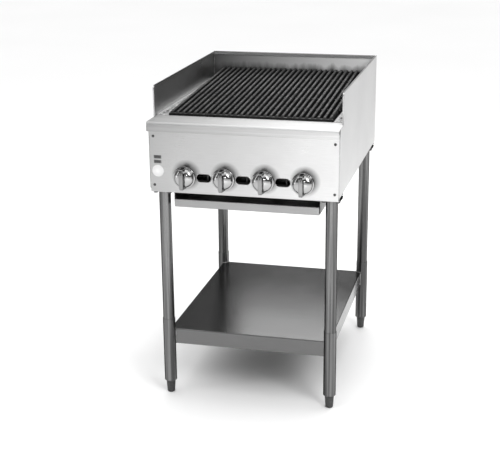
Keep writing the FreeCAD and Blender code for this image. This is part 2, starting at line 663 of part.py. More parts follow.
def knob(x):
    """Die-cast knob: a domed skirt with a grip bar across it."""
    z, radius = CONTROL_Z, KNOB_RADIUS
    back, face = FRONT - KNOB_GAP, FRONT - KNOB_REACH
    rim, shoulder = back - 4.0, back - 16.0
    edge_z, middle_z, top_z = z + radius, z + radius * 0.86, z + radius * 0.55
    lift = place_2d("yz", x)
    edges = [
        line(lift, (back, z), (back, edge_z)),
        line(lift, (back, edge_z), (rim, edge_z)),
        arc(lift, (rim, edge_z), (rim - 7.0, middle_z), (shoulder, top_z)),
        line(lift, (shoulder, top_z), (shoulder, z)),
        line(lift, (shoulder, z), (back, z)),
    ]
    skirt = Part.Face(Part.Wire(edges)).revolve(V(x, 0, z), Y_AXIS, 360)
    foot, crown, corner = 9.0, 6.0, 4.0
    bar_points = [(x - foot, rim), (x + foot, rim), (x + crown, face), (x - crown, face)]
    bar = plate_outline(bar_points, "xy", z - radius, 2 * radius, {2: corner, 3: corner})
    bar = bar.common(rod(radius - 0.6, V(x, face - PAST, z), V(x, FRONT + PAST, z)))
    bore = rod(STEM_RADIUS + STEM_CLEARANCE, V(x, back + 1, z), V(x, FRONT - STEM_IN_KNOB - 0.5, z))
    return fuse([skirt, bar]).cut(bore)


def grate(index):
    """Cast section: bars from front to back on cross ribs, leaned back about its front edge."""
    centre = GRATE_PITCH * (index - (GRATE_COUNT - 1) / 2)
    y0, y1 = GRATE_FRONT, GRATE_FRONT + GRATE_LENGTH
    top = DECK + GRATE_PROUD
    bottom = top - GRATE_HEIGHT
    half = (GRATE_PITCH - GRATE_GAP) / 2
    x0, x1 = centre - half, centre + half
    bars = []
    for i in range(BARS):
        x = centre + BAR_PITCH * (i - (BARS - 1) / 2)
        outline = [(x - BAR_ROOT, bottom), (x + BAR_ROOT, bottom), (x + BAR_CROWN, top), (x - BAR_CROWN, top)]
        bars.append(plate_outline(outline, "xz", y0, GRATE_LENGTH, {2: BAR_ROUND, 3: BAR_ROUND}))
    ribs = []
    for i in range(RIB_COUNT):
        y = y0 + GRATE_LENGTH * (i + 1) / (RIB_COUNT + 1) - RIB_WIDTH / 2
        ribs.append(block(x0, x1, y, y + RIB_WIDTH, bottom, bottom + RIB_HEIGHT))
    end_width = 8.0
    ends = [block(x0, x1, y, y + end_width, bottom, top - 5) for y in (y0, y1 - end_width)]
    whole = fuse(bars + ribs + ends)
    slope = [(y0 - 1, top + 1), (y0 + 9, top + 1), (y0 - 1, top - 6)]
    whole = whole.cut(plate_outline(slope, "yz", x0 - 1, 2 * half + 2))
    whole.rotate(V(0, y0, bottom), X_AXIS, GRATE_TILT)
    return whole


def tray_runner(side):
    """Hanger under the body with a lip that the tray slides on."""
    wall_x = RUNNER_X + SHEET / 2
    top_z, lip_z = PANEL_BOTTOM - SHEET / 2 - 0.1, TRAY_BOTTOM - SHEET / 2 - 0.5
    section = [
        (side * (wall_x - RUNNER_TOP), top_z),
        (side * wall_x, top_z),
        (side * wall_x, lip_z),
        (side * (wall_x - RUNNER_LIP), lip_z),
    ]
    start, end = TRAY_FRONT + 6, BACK - 20
    return formed_sheet(section, "xz", start, end - start, bend=2.0)


def drip_tray():
    """Shallow pan with a rolled rim and a taller pull along its front."""
    half, pan_front = TRAY_HALF - PULL_MARGIN, TRAY_FRONT + PULL_MARGIN
    inner_half, inner_front = half - TRAY_SHEET, pan_front + TRAY_SHEET
    outer = block(-half, half, pan_front, TRAY_BACK, TRAY_BOTTOM, TRAY_TOP)
    inner_back, floor = TRAY_BACK - TRAY_SHEET, TRAY_BOTTOM + TRAY_SHEET
    pan = outer.cut(block(-inner_half, inner_half, inner_front, inner_back, floor, TRAY_TOP + 1))
    rim_z, foot_z = TRAY_TOP - TRAY_SHEET / 2, TRAY_BOTTOM - PULL_DROP
    section = [
        (TRAY_FRONT + PULL_RIM, rim_z),
        (TRAY_FRONT, rim_z),
        (TRAY_FRONT, foot_z),
        (TRAY_FRONT + PULL_LIP, foot_z),
    ]
    pull = formed_sheet(section, "yz", -TRAY_HALF, 2 * TRAY_HALF, thick=TRAY_SHEET, bend=1.8)
    web = block(-half, half, TRAY_FRONT, pan_front + 0.5, TRAY_BOTTOM + 2, TRAY_TOP - 3)
    return fuse([pan, pull, web])


def undershelf():
    """Shelf with lips turned down and in, notched round the legs."""
    z0 = SHELF_TOP - SHELF_LIP
    outer = block(-SHELF_HALF, SHELF_HALF, SHELF_FRONT, SHELF_BACK, z0, SHELF_TOP)
    rims = [e for e in outer.Edges if abs(e.BoundBox.ZMin - SHELF_TOP) < 0.1]
    outer = outer.makeFillet(3.0, rims)

    def inset(margin, low, high):
        x1 = SHELF_HALF - margin
        return block(-x1, x1, SHELF_FRONT + margin, SHELF_BACK - margin, low, high)

    underside = SHELF_TOP - SHEET
    inner = inset(SHEET, z0 + SHEET, underside)
    edges = [e for e in inner.Edges if abs(e.BoundBox.ZMin - underside) < 0.1]
    inner = inner.makeFillet(3.0 - SHEET, edges)
    mouth = inset(SHELF_RETURN, z0 - 1, z0 + SHEET + 1)
    radius = SLEEVE_TUBE + BODY_GAP
    notches = [rod(radius, V(x, y, z0 - PAST), V(x, y, SHELF_TOP + PAST)) for x, y in LEGS.values()]
    return outer.cut([inner, mouth] + notches)


def leg(x, y):
    """Upper tube of a leg, from its plate down into the sleeve."""
    return tube(LEG_TUBE, LEG_TUBE - TUBE_WALL, V(x, y, LEG_END), V(x, y, LEG_TOP))


def leg_sleeve(x, y):
    """Lower, wider tube of a leg, which carries the shelf and the foot."""
    bore = LEG_TUBE + 0.1
    sleeve = tube(SLEEVE_TUBE, bore, V(x, y, SLEEVE_BOTTOM), V(x, y, SLEEVE_TOP))
    at_top = [e for e in sleeve.Edges if abs(e.BoundBox.ZMin - SLEEVE_TOP) < 0.1]
    return sleeve.makeChamfer(0.9, [e for e in at_top if e.BoundBox.XLength > 2 * bore + 1])


def leg_plate(x, y):
    """Square plate at the top of a leg."""
    half = PLATE_SIDE / 2
    plate = block(x - half, x + half, y - half, y + half, LEG_TOP, LEG_TOP + PLATE_THICK - 0.1)
    uprights = [e for e in plate.Edges if e.BoundBox.ZLength > 2]
    return plate.makeFillet(6.0, uprights).cut(leg_bolt_holes())


def leg_bolt(x, y):
    """Bolt up through a leg's plate."""
    head = hexagon(V(x, y, LEG_TOP - BOLT_HEAD), Z_AXIS, BOLT_ACROSS, BOLT_HEAD)
    shank = rod(BOLT_SHANK, V(x, y, LEG_TOP - 1), V(x, y, SIDE_BOTTOM + SHEET - BODY_GAP))
    return fuse([head, shank])


def foot_insert(x, y):
    """Plug in the bottom of a leg, bored for the foot's stud."""
    plug = rod(LEG_TUBE, V(x, y, SLEEVE_BOTTOM - 1), V(x, y, INSERT_TOP))
    thick = SLEEVE_BOTTOM - FOOT_TOP - 0.1
    flange = Part.makeCone(SLEEVE_TUBE - 2.5, SLEEVE_TUBE, thick, V(x, y, FOOT_TOP), Z_AXIS)
    bore = rod(STUD_RADIUS + 0.1, V(x, y, FOOT_TOP - 1), V(x, y, INSERT_TOP + PAST))
    return fuse([plug, flange]).cut(bore)


def foot(x, y):
    """Bullet foot on its stud, screwed right in."""
    height = FOOT_TOP - BODY_GAP
    crown, waist, sole = x + FOOT_CROWN, x + FOOT_WAIST, x + FOOT_SOLE
    chamfer, waist_z = 1.5, 5.0
    lift = place_2d("xz", y)
    edges = [
        line(lift, (x, 0), (sole, 0)),
        arc(lift, (sole, 0), (waist - 1.0, 1.6), (waist, waist_z)),
        line(lift, (waist, waist_z), (crown, height - 2 * chamfer)),
        line(lift, (crown, height - 2 * chamfer), (crown - chamfer, height)),
        line(lift, (crown - chamfer, height), (x, height)),
        line(lift, (x, height), (x, 0)),
    ]
    bullet = Part.Face(Part.Wire(edges)).revolve(V(x, y, 0), Z_AXIS, 360)
    stud = rod(STUD_RADIUS, V(x, y, height - 1), V(x, y, FOOT_TOP + STUD_LENGTH))
    return fuse([bullet, stud])


def screw(point, way):
    """Pan-head screw whose head lies on the point and whose shank runs along way."""
    head = Part.makeCone(SCREW_HEAD - 1.2, SCREW_HEAD, SCREW_RISE, point - way * SCREW_RISE, way)
    shank = rod(SCREW_SHANK, point - way * 0.5, point + way * 7)
    return fuse([head, shank])


def panel_screws():
    """Screws of the front panel, the deck strips and the back panel."""
    sides = (-1, 1)
    screws = [screw(V(side * PANEL_SCREW_X, FRONT, z), Y_AXIS) for side in sides for z in PANEL_SCREW_Z]
    strip_x, strip_y = STRIP_SCREW
    screws += [screw(V(side * strip_x, strip_y, DECK + SHEET), -Z_AXIS) for side in sides]
    screws += [screw(V(x, BACK, z), -Y_AXIS) for x, z in back_screw_points()]
    return Part.makeCompound(screws)


def panel_labels():
    """A blank round label and, above it, two blank plates at the panel's left end."""
    centre, face = V(LABEL_X, FRONT, LABEL_Z), FRONT - LABEL_THICK
    disc = rod(LABEL_RADIUS, centre - Y_AXIS * LABEL_THICK, centre)
    left, right = LABEL_X - LABEL_PLATE_WIDE / 2, LABEL_X + LABEL_PLATE_WIDE / 2
    half = LABEL_PLATE_TALL / 2
    plates = [block(left, right, face, FRONT, z - half, z + half) for z in LABEL_PLATE_Z]
    return Part.makeCompound([disc] + plates)


def build():
    """Every node by name."""
    right_panel, right_liner = right_side_panel(), right_firebox_liner()
    nodes = {
        "left_side_panel": mirror_x(right_panel.cut(inlet_hole())),
        "right_side_panel": right_panel,
        "back_panel": back_panel(),
        "back_splash": back_splash(),
        "front_panel": front_panel(),
        "front_rail": front_rail(),
        "left_firebox_liner": mirror_x(right_liner),
        "right_firebox_liner": right_liner,
        "front_firebox_liner": front_firebox_liner(),
        "front_bottom_rail": bottom_rail(*FRONT_CHANNEL),
        "rear_bottom_rail": bottom_rail(*REAR_CHANNEL),
        "grate_rests": grate_rests(),
        "firebox_racks": firebox_racks(),
        "gas_manifold": gas_manifold(),
        "gas_supply_pipe": gas_supply_pipe(),
        "gas_inlet_fitting": gas_inlet_fitting(),
        "gas_valves": Part.makeCompound([gas_valve(x) for x in BURNER_X]),
        "orifice_hoods": Part.makeCompound([orifice_hood(x) for x in BURNER_X]),
        "pilot_tubes": Part.makeCompound([pilot_tube(x) for x in PILOT_X]),
        "tray_runners": Part.makeCompound([tray_runner(side) for side in (-1, 1)]),
        "drip_tray": drip_tray(),
        "undershelf": undershelf(),
        "leg_sleeves": Part.makeCompound([leg_sleeve(x, y) for x, y in LEGS.values()]),
        "leg_plates": Part.makeCompound([leg_plate(x, y) for x, y in LEGS.values()]),
        "leg_plate_bolts": Part.makeCompound([leg_bolt(x, y) for x, y in leg_bolt_points()]),
        "foot_inserts": Part.makeCompound([foot_insert(x, y) for x, y in LEGS.values()]),
        "panel_screws": panel_screws(),
        "panel_labels": panel_labels(),
    }
    for i, x in enumerate(BURNER_X, 1):
        nodes[f"burner_{i}"] = burner(x)
        nodes[f"radiant_{i}"] = radiant(x)
        nodes[f"air_shutter_{i}"] = air_shutter(x)
        nodes[f"valve_stem_{i}"] = valve_stem(x)
        nodes[f"knob_{i}"] = knob(x)
        nodes[f"grate_{i}"] = grate(i - 1)
    for name, (x, y) in LEGS.items():
        nodes[f"leg_{name}"] = leg(x, y)
        nodes[f"foot_{name}"] = foot(x, y)
    return nodes


def main():
    """Writes each node to its own STEP file."""
    os.makedirs("parts", exist_ok=True)
    for name, shape in build().items():
        if not shape.isValid() or any(s.Volume <= 0 for s in shape.Solids):
            print("not a valid solid:", name)
        shape.exportStep(f"parts/{name}.step")


main()
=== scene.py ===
import json
import math

import bmesh
import bpy
from mathutils import Matrix, Vector


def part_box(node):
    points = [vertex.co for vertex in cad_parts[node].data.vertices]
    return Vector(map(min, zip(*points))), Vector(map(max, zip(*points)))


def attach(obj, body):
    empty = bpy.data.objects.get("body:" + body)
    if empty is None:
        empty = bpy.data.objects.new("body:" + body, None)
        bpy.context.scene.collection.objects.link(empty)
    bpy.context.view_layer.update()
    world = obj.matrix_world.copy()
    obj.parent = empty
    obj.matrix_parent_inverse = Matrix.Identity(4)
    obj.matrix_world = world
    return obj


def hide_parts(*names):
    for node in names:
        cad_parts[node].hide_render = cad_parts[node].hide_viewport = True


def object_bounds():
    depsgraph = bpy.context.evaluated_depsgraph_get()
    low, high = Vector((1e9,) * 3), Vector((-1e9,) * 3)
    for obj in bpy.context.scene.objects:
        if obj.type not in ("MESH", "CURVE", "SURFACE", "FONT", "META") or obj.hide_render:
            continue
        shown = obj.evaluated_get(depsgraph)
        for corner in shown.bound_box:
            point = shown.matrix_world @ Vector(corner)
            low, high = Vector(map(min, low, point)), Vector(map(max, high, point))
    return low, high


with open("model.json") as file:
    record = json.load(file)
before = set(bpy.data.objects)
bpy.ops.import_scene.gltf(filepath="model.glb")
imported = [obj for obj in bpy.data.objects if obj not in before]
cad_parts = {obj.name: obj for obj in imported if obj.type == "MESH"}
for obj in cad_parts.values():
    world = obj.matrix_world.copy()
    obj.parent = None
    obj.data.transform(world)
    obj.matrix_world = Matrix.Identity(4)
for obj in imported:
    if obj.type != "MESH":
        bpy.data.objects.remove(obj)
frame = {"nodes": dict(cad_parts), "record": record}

# Everything is in metres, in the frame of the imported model: +Z up, the front towards -Y.
CAD_LOW, CAD_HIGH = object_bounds()
MM = 0.001
NODES = frame["nodes"]
X, Y, Z = Vector((1, 0, 0)), Vector((0, 1, 0)), Vector((0, 0, 1))

# Camera: angles in degrees, lens and sensor in millimetres
CAMERA_PLACE = Vector((0.8345, -3.6583, 1.6906))
CAMERA_YAW, CAMERA_PITCH, CAMERA_ROLL = 13.99, -17.49, -0.53
CAMERA_LENS = 80.56
CAMERA_SENSOR = 36.0
CAMERA_REACH = 200.0

# Stage: each light has a name, a place, a point to face, a width, a height and a power in watts
FLOOR_HALF = 60.0
STAGE_MIDDLE = (0.0, 0.0, 0.75)
LIGHTS = (
    ("key", (2.8, -3.0, 3.0), STAGE_MIDDLE, 1.8, 1.8, 80.0),
    ("pool", (0.3, -3.4, 1.2), (0.3, -3.4, 0.0), 0.6, 0.6, 22.0),
    ("fill", (-3.2, -2.2, 1.4), STAGE_MIDDLE, 0.5, 2.6, 9.0),
    ("top", (0.3, 0.6, 3.6), STAGE_MIDDLE, 2.6, 2.0, 30.0),
    ("back", (0.05, 3.6, 2.5), (0.05, 0.0, 1.4), 2.3, 1.3, 22.0),
)

# Surroundings: their grey straight down, straight up, and at heights between these (0 to 1)
WORLD_STRENGTH = 1.75
WORLD_BELOW, WORLD_ABOVE = 0.30, 1.0
WORLD_BETWEEN = ((0.5, 0.12), (0.72, 0.07), (0.86, 0.85))

# Brushing: how far each axis draws the grain out, and the hairlines' scale and depth
GRAIN_ALONG = {"x": (0.012, 1, 1), "y": (1, 0.012, 1), "z": (1, 1, 0.012)}
HAIR_SCALE, HAIR_DEPTH = 1400.0, 0.00004

# Painted shade along top edges: how fully it covers, how far below a top edge it fades in, and how high a
# painted reflection of the grates darkens the splash
PAINTED_SHADE_COVER = 0.95
GUARD_SHADE_FROM, GUARD_SHADE_FULL = 2.4 * MM, 1.4 * MM
SPLASH_SHADE_FROM, SPLASH_SHADE_FULL = 6 * MM, 4 * MM
GRATE_REFLECTION_FULL, GRATE_REFLECTION_END, GRATE_REFLECTION_RAGGED = 36 * MM, 66 * MM, 9 * MM

# Painted shadow and reflection of the knobs on the front panel: how far right and up of a knob it sits, and
# its reach inside and outside its edge
KNOB_SHADOW_RIGHT, KNOB_SHADOW_UP = 7 * MM, 8 * MM
KNOB_SHADOW_INSIDE, KNOB_SHADOW_OUTSIDE = 6 * MM, 14 * MM

# Knobs: the pointer line's half size is in millimetres, its height a share of the knob's radius
KNOB_NUMBERS = range(1, 5)
SKIRT_TOP, DOME_TOP, DOME_RINGS = 4.4 * MM, 21 * MM, 12
GRIP_FOOT = 4 * MM
POINTER_HALF, POINTER_PROUD, POINTER_HEIGHT = (0.9, 0.6, 6.0), 0.5 * MM, 0.60

# Screw heads, in millimetres: an outline of (radius, height), and the cross recess; the spin is in radians
SCREW_HEIGHT = 2.2
SCREW_FOOT = ((0, -0.4), (4.4, -0.4), (4.5, 0.2), (4.3, 1.0))
SCREW_OUTLINE = (*SCREW_FOOT, (3.6, 1.75), (2.4, 2.1), (1.2, SCREW_HEIGHT), (0, SCREW_HEIGHT))
RECESS_LONG, RECESS_WIDE, RECESS_DEEP = 2.3, 0.45, 1.3
SCREW_SPIN = 0.7

# Lighting slots: half the straight run, the end radius and its steps, and the lip's radius and sink
SLOT_STRAIGHT, SLOT_RADIUS, SLOT_STEPS = 11.0 * MM, 13.9 * MM, 16
LIP_RADIUS, LIP_SINK = 0.9 * MM, 0.1 * MM

# Welds: bead radii, how far a bead's middle stands off the metal, and the ripple's size and rings
CORNER_BEAD, LIP_BEAD, SEAM_BEAD = 1.7 * MM, 1.5 * MM, 1.3 * MM
CORNER_OFF, LIP_OFF, SEAM_OFF = 0.6 * MM, 0.5 * MM, 1.2 * MM
WELD_RIPPLE, SEAM_RIPPLE, RIPPLE_RINGS = 0.16, 0.10, 3

# Labels
PLATE_BEVEL = 0.00005


# ---------------------------------------------------------------------------------------------
# Stage, light and camera
# ---------------------------------------------------------------------------------------------
def make_camera():
    """The camera, at the height and angle from which the grill is shown."""
    data = bpy.data.cameras.new("camera")
    data.lens = CAMERA_LENS
    data.sensor_width = CAMERA_SENSOR
    data.clip_end = CAMERA_REACH
    camera = bpy.data.objects.new("camera", data)
    bpy.context.scene.collection.objects.link(camera)
    turn = Matrix.Rotation(math.radians(CAMERA_YAW), 4, "Z")
    tilt = Matrix.Rotation(math.radians(90 + CAMERA_PITCH), 4, "X")
    roll = Matrix.Rotation(math.radians(CAMERA_ROLL), 4, "Z")
    camera.matrix_world = Matrix.Translation(CAMERA_PLACE) @ turn @ tilt @ roll
    bpy.context.scene.camera = camera
    bpy.context.scene.view_settings.view_transform = "Standard"


def area_light(name, place, aim, width, height, power):
    """A soft rectangular light turned towards a point, which the camera doesn't see itself."""
    data = bpy.data.lights.new(name, "AREA")
    data.shape = "RECTANGLE"
    data.size, data.size_y = width, height
    data.energy = power
    light = bpy.data.objects.new(name, data)
    bpy.context.scene.collection.objects.link(light)
    light.visible_camera = False
    light.location = place
    light.rotation_mode = "QUATERNION"
    light.rotation_quaternion = (Vector(aim) - Vector(place)).to_track_quat("-Z", "Y")


def make_lights():
    """A key from the upper right, a pool in front, a tall narrow fill, and softboxes above and behind."""
    for light in LIGHTS:
        area_light(*light)


def grey(tone):
    """A grey as a colour with its alpha."""
    return (tone, tone, tone, 1)


def make_world():
    """Surroundings bright overhead, dark at eye level and grey below; the camera itself sees white."""
    world = bpy.data.worlds.new("studio")
    bpy.context.scene.world = world
    world.use_nodes = True
    tree = world.node_tree
    background = tree.nodes["Background"]
    background.inputs["Strength"].default_value = WORLD_STRENGTH
    place = tree.nodes.new("ShaderNodeTexCoord")
    split = tree.nodes.new("ShaderNodeSeparateXYZ")
    ramp = tree.nodes.new("ShaderNodeValToRGB")
    spread = tree.nodes.new("ShaderNodeMapRange")
    spread.inputs["From Min"].default_value = -1.0
    tree.links.new(place.outputs["Generated"], split.inputs[0])
    tree.links.new(split.outputs["Z"], spread.inputs["Value"])
    tree.links.new(spread.outputs[0], ramp.inputs[0])
    tree.links.new(ramp.outputs[0], background.inputs["Color"])
    backdrop = tree.nodes.new("ShaderNodeBackground")
    backdrop.inputs["Color"].default_value = grey(1)
    seen = tree.nodes.new("ShaderNodeLightPath")
    choice = tree.nodes.new("ShaderNodeMixShader")
    tree.links.new(seen.outputs["Is Camera Ray"], choice.inputs[0])
    tree.links.new(background.outputs[0], choice.inputs[1])
    tree.links.new(backdrop.outputs[0], choice.inputs[2])
    tree.links.new(choice.outputs[0], tree.nodes["World Output"].inputs["Surface"])
    stops = ramp.color_ramp.elements
    stops[0].position, stops[0].color = 0.0, grey(WORLD_BELOW)
    stops[1].position, stops[1].color = 1.0, grey(WORLD_ABOVE)
    for position, tone in WORLD_BETWEEN:
        stops.new(position).color = grey(tone)


# ---------------------------------------------------------------------------------------------
# Materials
# ---------------------------------------------------------------------------------------------
# The Mix node's sockets where it mixes colours, and the Vector Math node's factor
MIX_FACTOR, MIX_A, MIX_B, MIX_RESULT = 0, 6, 7, 2
SCALE_FACTOR = 3


class Finish:
    """A material's node tree, with short calls for what the materials share."""

    def __init__(self, name, tone, metallic, roughness):
        self.material = bpy.data.materials.new(name)
        self.material.use_nodes = True
        self.tree = self.material.node_tree
        self.surface = self.tree.nodes["Principled BSDF"]
        self.tone = tone if isinstance(tone, tuple) else (tone, tone, tone)
        self.surface.inputs["Base Color"].default_value = (*self.tone, 1)
        self.surface.inputs["Metallic"].default_value = metallic
        self.surface.inputs["Roughness"].default_value = roughness
        self.place = self.tree.nodes.new("ShaderNodeTexCoord").outputs["Object"]

    def node(self, kind, inputs=None, **settings):
        """A node with some settings, whose inputs are values or other nodes' outputs."""
        node = self.tree.nodes.new(kind)
        for key, value in settings.items():
            setattr(node, key, value)
        for key, value in (inputs or {}).items():
            if isinstance(value, bpy.types.NodeSocket):
                self.tree.links.new(value, node.inputs[key])
            else:
                node.inputs[key].default_value = value
        return node

    def noise(self, scale, stretch=(1, 1, 1), detail=3.0, rough=0.5, distortion=0.0):
        """Noise in the object's own space, drawn out along an axis by a small stretch value there."""
        spread = self.node("ShaderNodeMapping", {"Vector": self.place, "Scale": stretch})
        inputs = {
            "Vector": spread.outputs[0],
            "Scale": scale,
            "Detail": detail,
            "Roughness": rough,
            "Distortion": distortion,
        }
        return self.node("ShaderNodeTexNoise", inputs).outputs["Fac"]

    def hairlines(self, grain):
        """The fine lines of brushed steel, along an axis."""
        return self.noise(HAIR_SCALE, GRAIN_ALONG[grain], detail=4.0, rough=0.65)

    def spots(self, scale):
        """Distance to the nearest of many scattered points."""
        return self.node("ShaderNodeTexVoronoi", {"Vector": self.place, "Scale": scale}).outputs["Distance"]

    def span(self, value, low, high, to_low=0.0, to_high=1.0):
        """A value carried from one range to another."""
        inputs = {"Value": value, "From Min": low, "From Max": high, "To Min": to_low, "To Max": to_high}
        return self.node("ShaderNodeMapRange", inputs).outputs[0]

    def math(self, operation, a, b=0.0):
        """One sum on two values."""
        return self.node("ShaderNodeMath", {0: a, 1: b}, operation=operation).outputs[0]

    def blend(self, factor, a, b):
        """A colour between two, each three numbers or another node's output."""
        sockets = {MIX_FACTOR: factor, MIX_A: a, MIX_B: b}
        inputs = {key: (*value, 1) if isinstance(value, tuple) else value for key, value in sockets.items()}
        return self.node("ShaderNodeMix", inputs, data_type="RGBA").outputs[MIX_RESULT]

    def scale(self, colour, factor):
        """A colour times a number."""
        inputs = {0: colour, SCALE_FACTOR: factor}
        return self.node("ShaderNodeVectorMath", inputs, operation="SCALE").outputs[0]

    def shade(self, factor):
        """The material's tone times a number."""
        return tuple(min(1.0, c * factor) for c in self.tone)

    def edges(self, radius=0.0012):
        """1 along sharp edges and 0 on flat faces."""
        rounded = self.node("ShaderNodeBevel", {"Radius": radius}, samples=4).outputs[0]
        flat = self.node("ShaderNodeNewGeometry").outputs["Normal"]
        inputs = {0: rounded, 1: flat}
        alike = self.node("ShaderNodeVectorMath", inputs, operation="DOT_PRODUCT").outputs["Value"]
        return self.span(alike, 0.99, 0.86)

    def bump(self, height, distance):
        """Surface relief from a height; the distance is its depth in metres."""
        inputs = {"Height": height, "Distance": distance, "Strength": 1.0}
        before = self.surface.inputs["Normal"]
        if before.is_linked:
            inputs["Normal"] = before.links[0].from_socket
        self.tree.links.new(self.node("ShaderNodeBump", inputs).outputs[0], before)

    def rim_tint(self, tone):
        """How much a metal reflects where it turns away from the eye."""
        self.surface.inputs["Specular Tint"].default_value = grey(tone)

    def near(self, centre, inner, outer):
        """1 within a distance of a point, fading to 0 at a larger one."""
        inputs = {0: self.place, 1: centre}
        away = self.node("ShaderNodeVectorMath", inputs, operation="DISTANCE").outputs["Value"]
        return self.span(away, inner, outer, 1.0, 0.0)

    def drive(self, socket, output):
        """Links an output to one of the shader's inputs."""
        self.tree.links.new(output, self.surface.inputs[socket])


def brushed(
    name, tone, grain, roughness=0.28, smear=0.10, relief=1.0, metallic=1.0, streaks=(160.0, 0.0), rim=1.0,
    painted_light_and_rubbing=(1.0, 1.0), painted_shadows=(),
):
    """Sheet steel brushed along an axis, with handling marks, fine scratches and painted shade along its
    sharp edges.

    Streaks are their scale and strength. Painted light takes the sheet from one brightness at its left end
    to another at its right, and painted shade darkens it along the guards' tops. Each painted shadow is a
    place, and the inner and outer distance of a dark halo of painted knob shadow and reflection round it.
    """
    finish = Finish(name, tone, metallic, roughness)
    finish.rim_tint(rim)
    stretch = GRAIN_ALONG[grain]
    hair = finish.hairlines(grain)
    band_scale, banding = streaks
    band = finish.noise(band_scale, stretch, detail=3.0)
    cloud = finish.noise(4.0, detail=4.0, rough=0.5)
    scratch = finish.noise(420.0, tuple(max(0.08, s) for s in stretch), detail=1.0)
    fine = finish.span(scratch, 0.72, 0.80, 0.0, 0.3)
    edge = finish.edges()
    streaked = finish.blend(finish.span(hair, 0.3, 0.7), finish.shade(0.90), finish.shade(1.06))
    clouded = finish.blend(finish.span(cloud, 0.35, 0.75, 0.0, 0.25), streaked, finish.shade(0.80))
    banded = finish.blend(finish.span(band, 0.41, 0.59, 0.0, banding), clouded, finish.shade(0.30))
    scratched = finish.blend(fine, banded, finish.shade(1.12))
    split = finish.node("ShaderNodeSeparateXYZ", {0: finish.place})
    # Painted light: brighter from the left end to the right end
    painted_light_across = finish.span(split.outputs["X"], CAD_LOW.x, CAD_HIGH.x, *painted_light_and_rubbing)
    # Painted shade: darker just below the guards' top edges
    painted_shade_from, painted_shade_full = CAD_HIGH.z - GUARD_SHADE_FROM, CAD_HIGH.z - GUARD_SHADE_FULL
    crest = finish.span(split.outputs["Z"], painted_shade_from, painted_shade_full, 0.0, PAINTED_SHADE_COVER)
    colour = finish.blend(crest, finish.scale(scratched, painted_light_across), finish.shade(0.05))
    # Painted shadow and reflection: a dark halo up and to the right of each knob
    for centre, inner, outer in painted_shadows:
        halo = finish.math("MULTIPLY", finish.near(centre, inner, outer), 0.8)
        colour = finish.blend(halo, colour, finish.shade(0.12))
    # Painted shade: darker along sharp edges
    finish.drive("Base Color", finish.blend(edge, colour, finish.shade(0.35)))
    sheen = finish.span(hair, 0.2, 0.8, roughness - 0.05, roughness + 0.06)
    soiled = finish.math("ADD", sheen, finish.span(cloud, 0.3, 0.8, 0.0, smear))
    finish.drive("Roughness", finish.math("SUBTRACT", soiled, finish.math("MULTIPLY", edge, 0.08)))
    finish.bump(hair, HAIR_DEPTH * relief)
    finish.bump(band, 0.00012 * relief)
    return finish.material


def painted_knob_shadows():
    """Halos of painted shadow and reflection on the front panel, up and to the right of each knob."""
    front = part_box("front_panel")[0].y
    places = []
    for i in KNOB_NUMBERS:
        low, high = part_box(f"knob_{i}")
        middle, radius = (low + high) / 2, (high.x - low.x) / 2
        centre = (middle.x + KNOB_SHADOW_RIGHT, front, middle.z + KNOB_SHADOW_UP)
        places.append((centre, radius - KNOB_SHADOW_INSIDE, radius + KNOB_SHADOW_OUTSIDE))
    return places


def heat_dulled(name, node):
    """Steel behind the grates: painted light makes it brighter to the right, with painted shade along its
    top and a ragged painted reflection of the grates darkening it below.
    """
    finish = Finish(name, 0.62, 0.20, 0.40)
    low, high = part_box(node)
    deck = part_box("front_rail")[1].z
    split = finish.node("ShaderNodeSeparateXYZ", {0: finish.place})
    cloud = finish.noise(14.0, (1, 1, 0.6), detail=5.0, rough=0.6)
    ragged = finish.noise(45.0, (1, 1, 0.25), detail=3.0)
    hair = finish.hairlines("x")
    # Painted light: much brighter towards the right end
    across = finish.span(split.outputs["X"], low.x, high.x)
    base_and_painted_light = finish.blend(across, finish.shade(0.14), finish.shade(1.6))
    # Painted reflection of the grates: darker towards the bottom, with a ragged edge
    sway = finish.span(ragged, 0.3, 0.7, -GRATE_REFLECTION_RAGGED, GRATE_REFLECTION_RAGGED)
    height = finish.math("ADD", split.outputs["Z"], sway)
    painted_grate_reflection = finish.span(height, deck + GRATE_REFLECTION_FULL, deck + GRATE_REFLECTION_END, 0.92, 0.0)
    # Painted shade: darker just below the top edge
    painted_shade_from, painted_shade_full = high.z - SPLASH_SHADE_FROM, high.z - SPLASH_SHADE_FULL
    rim = finish.span(split.outputs["Z"], painted_shade_from, painted_shade_full, 0.0, PAINTED_SHADE_COVER)
    painted_shade_and_reflection = finish.math("MAXIMUM", painted_grate_reflection, rim)
    finish.drive("Base Color", finish.blend(painted_shade_and_reflection, base_and_painted_light, finish.shade(0.06)))
    finish.drive("Roughness", finish.span(cloud, 0.2, 0.8, 0.34, 0.5))
    finish.bump(hair, HAIR_DEPTH)
    return finish.material


def dull_steel(name, tone, roughness=0.45, metallic=0.9):
    """Plain aluminised or plated steel: spangled, smudged, with brighter edges."""
    finish = Finish(name, tone, metallic, roughness)
    spangle = finish.spots(160.0)
    cloud = finish.noise(9.0, detail=6.0, rough=0.65)
    speck = finish.noise(300.0, detail=2.0)
    edge = finish.edges()
    base = finish.blend(finish.span(spangle, 0.1, 0.8), finish.shade(0.85), finish.shade(1.12))
    stained = finish.blend(finish.span(cloud, 0.45, 0.8, 0.0, 0.6), base, finish.shade(0.55))
    finish.drive("Base Color", finish.blend(edge, stained, finish.shade(1.5)))
    rough = finish.span(cloud, 0.2, 0.8, roughness - 0.08, roughness + 0.15)
    finish.drive("Roughness", finish.math("ADD", rough, finish.span(speck, 0.3, 0.7, -0.03, 0.03)))
    finish.bump(speck, 0.00008)
    return finish.material


